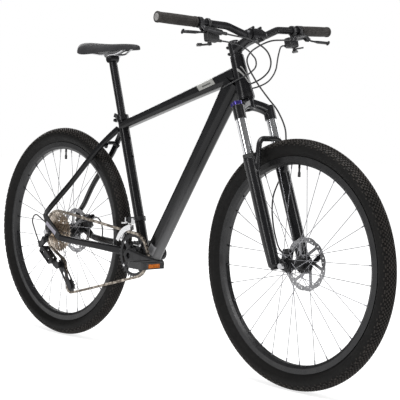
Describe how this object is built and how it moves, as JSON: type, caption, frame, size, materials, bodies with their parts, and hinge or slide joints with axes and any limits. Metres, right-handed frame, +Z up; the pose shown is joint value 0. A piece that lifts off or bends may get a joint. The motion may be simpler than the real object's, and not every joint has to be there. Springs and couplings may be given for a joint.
{
  "type": "mountain bike",
  "caption": "Hardtail mountain bike with a telescopic suspension fork, disc brakes, knobbly tyres, derailleur gears, flat riser bar and quick-release saddle post",
  "frame": {"origin": "on the ground, midway between the axles", "axes": "+X forward, +Y to the rider's left, +Z up"},
  "size_m": [1.8768, 0.7152, 1.0845],
  "materials": {
    "frame_paint": "gloss black powder coat",
    "fork_paint": "gloss black paint on a light alloy casting",
    "stanchion_chrome": "polished hard chrome",
    "black_anodised": "black anodised",
    "steel": "brushed stainless",
    "chain_steel": "oiled steel",
    "rim_black": "black anodised",
    "spoke_steel": "drawn stainless",
    "tyre_rubber": "moulded matt rubber",
    "hose_rubber": "satin",
    "grip_rubber": "moulded matt rubber",
    "saddle_cover": "synthetic leather, matt",
    "black_plastic": "moulded",
    "seal_rubber": "matt",
    "knob_violet": "violet anodised"
  },
  "bodies": {
    "frame": {"frame_front_triangle": "frame_paint", "frame_chainstays": "frame_paint", "frame_seatstays": "frame_paint", "seat_collar": "black_anodised", "bottom_bracket": "black_anodised", "front_derailleur_body": "black_anodised", "rear_brake_caliper": "black_anodised", "rear_axle": "steel", "chain": "chain_steel", "control_lines": "hose_rubber", "rd_upper_knuckle": "black_anodised"},
    "front_end": {"fork_crown": "fork_paint", "fork_stanchions": "stanchion_chrome", "headset": "black_anodised", "stem": "black_anodised", "handlebar": "black_anodised", "grips": "grip_rubber", "brake_lever_housings": "black_anodised", "shifter_housings": "black_plastic", "front_brake_hose": "hose_rubber"},
    "fork_lower": {"fork_lowers": "fork_paint", "fork_seals": "seal_rubber", "front_brake_caliper": "black_anodised", "front_axle": "steel"},
    "front_wheel": {"front_tyre_and_tube": "tyre_rubber", "front_rim": "rim_black", "front_spokes": "spoke_steel", "front_hub": "black_anodised", "front_rotor": "steel"},
    "rear_wheel": {"rear_tyre_and_tube": "tyre_rubber", "rear_rim": "rim_black", "rear_spokes": "spoke_steel", "rear_hub": "black_anodised", "rear_rotor": "steel"},
    "crankset": {"crank_arm_right": "black_anodised", "chainrings": "steel", "crank_arm_left": "black_anodised"},
    "saddle": {"saddle_rails": "steel", "saddle": "saddle_cover"},
    "lockout_knob": {"lockout_knob": "knob_violet"},
    "brake_lever_right": {"brake_lever_right": "black_anodised"},
    "brake_lever_left": {"brake_lever_left": "black_anodised"},
    "shift_thumb_right": {"shift_thumb_right": "black_plastic"},
    "shift_thumb_left": {"shift_thumb_left": "black_plastic"},
    "shift_release_right": {"shift_release_right": "black_plastic"},
    "shift_release_left": {"shift_release_left": "black_plastic"},
    "seat_qr_lever": {"seat_qr_lever": "black_anodised"},
    "front_qr_lever": {"front_qr_lever": "black_anodised"},
    "rear_qr_lever": {"rear_qr_lever": "black_anodised"},
    "front_derailleur_cage": {"front_derailleur_cage": "steel"},
    "rd_outer_link": {"rd_outer_link": "black_anodised"},
    "rd_inner_link": {"rd_inner_link": "black_anodised"},
    "rd_lower_knuckle": {"rd_lower_knuckle": "black_anodised"},
    "rd_cage": {"rd_cage": "black_anodised"},
    "rd_guide_pulley": {"rd_guide_pulley": "black_plastic"},
    "rd_tension_pulley": {"rd_tension_pulley": "black_plastic"},
    "cassette": {"cassette": "chain_steel"},
    "pedal_right": {"pedal_right": "black_plastic"},
    "pedal_left": {"pedal_left": "black_plastic"},
    "seatpost": {"seatpost": "black_anodised"}
  },
  "joints": [
    {"name": "steering", "type": "hinge", "parent": "frame", "child": "front_end", "pos_m": [0.338, 0, 0.858], "axis": [-0.3502, 0, 0.9367], "range_deg": [-65, 65], "deforming": ["control_lines"]},
    {"name": "fork_slide", "type": "slide", "parent": "front_end", "child": "fork_lower", "axis": [-0.3502, 0, 0.9367], "range_m": [0, 0.1], "stiffness_N_per_m": 8000, "springref_m": -0.01, "deforming": ["front_brake_hose"]},
    {"name": "front_wheel_spin", "type": "hinge", "parent": "fork_lower", "child": "front_wheel", "pos_m": [0.5715, 0, 0.367], "axis": [0, 1, 0], "continuous": true},
    {"name": "rear_wheel_spin", "type": "hinge", "parent": "frame", "child": "rear_wheel", "pos_m": [-0.5715, 0, 0.367], "axis": [0, 1, 0], "continuous": true},
    {"name": "crank_spin", "type": "hinge", "parent": "frame", "child": "crankset", "pos_m": [-0.116, 0, 0.329], "axis": [0, 1, 0], "continuous": true, "deforming": ["chain"]},
    {"name": "cassette_spin", "type": "hinge", "parent": "frame", "child": "cassette", "pos_m": [-0.5715, 0, 0.367], "axis": [0, 1, 0], "continuous": true},
    {"name": "pedal_right_spin", "type": "hinge", "parent": "crankset", "child": "pedal_right", "pos_m": [0.05377, -0.13, 0.3201], "axis": [0, 1, 0], "continuous": true},
    {"name": "pedal_left_spin", "type": "hinge", "parent": "crankset", "child": "pedal_left", "pos_m": [-0.28577, 0.13, 0.3379], "axis": [0, 1, 0], "continuous": true},
    {"name": "seatpost_slide", "type": "slide", "parent": "frame", "child": "seatpost", "axis": [-0.2974, 0, 0.9547], "range_m": [-0.1, 0.03]},
    {"name": "saddle_tilt", "type": "hinge", "parent": "seatpost", "child": "saddle", "pos_m": [-0.317, 0, 0.988], "axis": [0, 1, 0], "range_deg": [-10, 10]},
    {"name": "lockout_turn", "type": "hinge", "parent": "front_end", "child": "lockout_knob", "pos_m": [0.36934, -0.0632, 0.83128], "axis": [-0.3502, 0, 0.9367], "range_deg": [0, 90]},
    {"name": "brake_lever_right_pull", "type": "hinge", "parent": "front_end", "child": "brake_lever_right", "pos_m": [0.38305, -0.2152, 1.03594], "axis": [-0.6058, 0.0216, -0.7954], "range_deg": [0, 15], "stiffness_Nm_per_rad": 0.8, "springref_deg": -11.46},
    {"name": "shift_thumb_right_push", "type": "hinge", "parent": "front_end", "child": "shift_thumb_right", "pos_m": [0.36542, -0.1777, 1.00189], "axis": [0.2161, -0.0615, -0.9744], "range_deg": [0, 25], "stiffness_Nm_per_rad": 0.3, "springref_deg": -11.46},
    {"name": "shift_release_right_push", "type": "hinge", "parent": "front_end", "child": "shift_release_right", "pos_m": [0.36542, -0.1777, 1.00189], "axis": [-0.2161, 0.0615, 0.9744], "range_deg": [0, 12], "stiffness_Nm_per_rad": 0.3, "springref_deg": -11.46},
    {"name": "brake_lever_left_pull", "type": "hinge", "parent": "front_end", "child": "brake_lever_left", "pos_m": [0.38305, 0.2152, 1.03594], "axis": [0.6058, 0.0216, 0.7954], "range_deg": [0, 15], "stiffness_Nm_per_rad": 0.8, "springref_deg": -11.46},
    {"name": "shift_thumb_left_push", "type": "hinge", "parent": "front_end", "child": "shift_thumb_left", "pos_m": [0.36542, 0.1777, 1.00189], "axis": [-0.2161, -0.0615, 0.9744], "range_deg": [0, 25], "stiffness_Nm_per_rad": 0.3, "springref_deg": -11.46},
    {"name": "shift_release_left_push", "type": "hinge", "parent": "front_end", "child": "shift_release_left", "pos_m": [0.36542, 0.1777, 1.00189], "axis": [0.2161, 0.0615, -0.9744], "range_deg": [0, 12], "stiffness_Nm_per_rad": 0.3, "springref_deg": -11.46},
    {"name": "seat_lever_swing", "type": "hinge", "parent": "frame", "child": "seat_qr_lever", "pos_m": [-0.27873, 0.0165, 0.76731], "axis": [-0.4229, 0, -0.9062], "range_deg": [0, 130]},
    {"name": "front_lever_swing", "type": "hinge", "parent": "fork_lower", "child": "front_qr_lever", "pos_m": [0.5715, 0.0645, 0.367], "axis": [-0.5708, 0, 0.8211], "range_deg": [0, 120]},
    {"name": "rear_lever_swing", "type": "hinge", "parent": "frame", "child": "rear_qr_lever", "pos_m": [-0.5715, 0.081, 0.367], "axis": [-0.7071, 0, -0.7071], "range_deg": [0, 150]},
    {"name": "front_derailleur_swing", "type": "hinge", "parent": "frame", "child": "front_derailleur_cage", "pos_m": [-0.15339, -0.036, 0.44561], "axis": [1, 0, 0], "range_deg": [0, 9]},
    {"name": "derailleur_shift", "type": "hinge", "parent": "frame", "child": "rd_outer_link", "pos_m": [-0.601, -0.074, 0.303], "axis": [-0.8, 0, -0.6], "range_deg": [0, 34]},
    {"name": "derailleur_inner_swing", "type": "hinge", "parent": "frame", "child": "rd_inner_link", "pos_m": [-0.601, -0.057, 0.303], "axis": [-0.8, 0, -0.6], "range_deg": [0, 34]},
    {"name": "derailleur_level", "type": "hinge", "parent": "rd_outer_link", "child": "rd_lower_knuckle", "pos_m": [-0.57116, -0.0588, 0.26322], "axis": [-0.8, 0, -0.6], "range_deg": [-34, 0]},
    {"name": "cage_swing", "type": "hinge", "parent": "rd_lower_knuckle", "child": "rd_cage", "pos_m": [-0.545, -0.0273, 0.25], "axis": [0, 1, 0], "range_deg": [-20, 40], "stiffness_Nm_per_rad": 1.5, "springref_deg": 34.38},
    {"name": "guide_pulley_spin", "type": "hinge", "parent": "rd_cage", "child": "rd_guide_pulley", "pos_m": [-0.545, -0.0273, 0.25], "axis": [0, 1, 0], "continuous": true},
    {"name": "tension_pulley_spin", "type": "hinge", "parent": "rd_cage", "child": "rd_tension_pulley", "pos_m": [-0.48806, -0.0273, 0.1803], "axis": [0, 1, 0], "continuous": true}
  ],
  "couplings": [
    {"joint": "cassette_spin", "follows": "crank_spin", "ratio": 1},
    {"joint": "guide_pulley_spin", "follows": "crank_spin", "ratio": -3.2727},
    {"joint": "tension_pulley_spin", "follows": "crank_spin", "ratio": 3.2727},
    {"joint": "derailleur_inner_swing", "follows": "derailleur_shift", "ratio": 1},
    {"joint": "derailleur_level", "follows": "derailleur_shift", "ratio": -1}
  ]
}
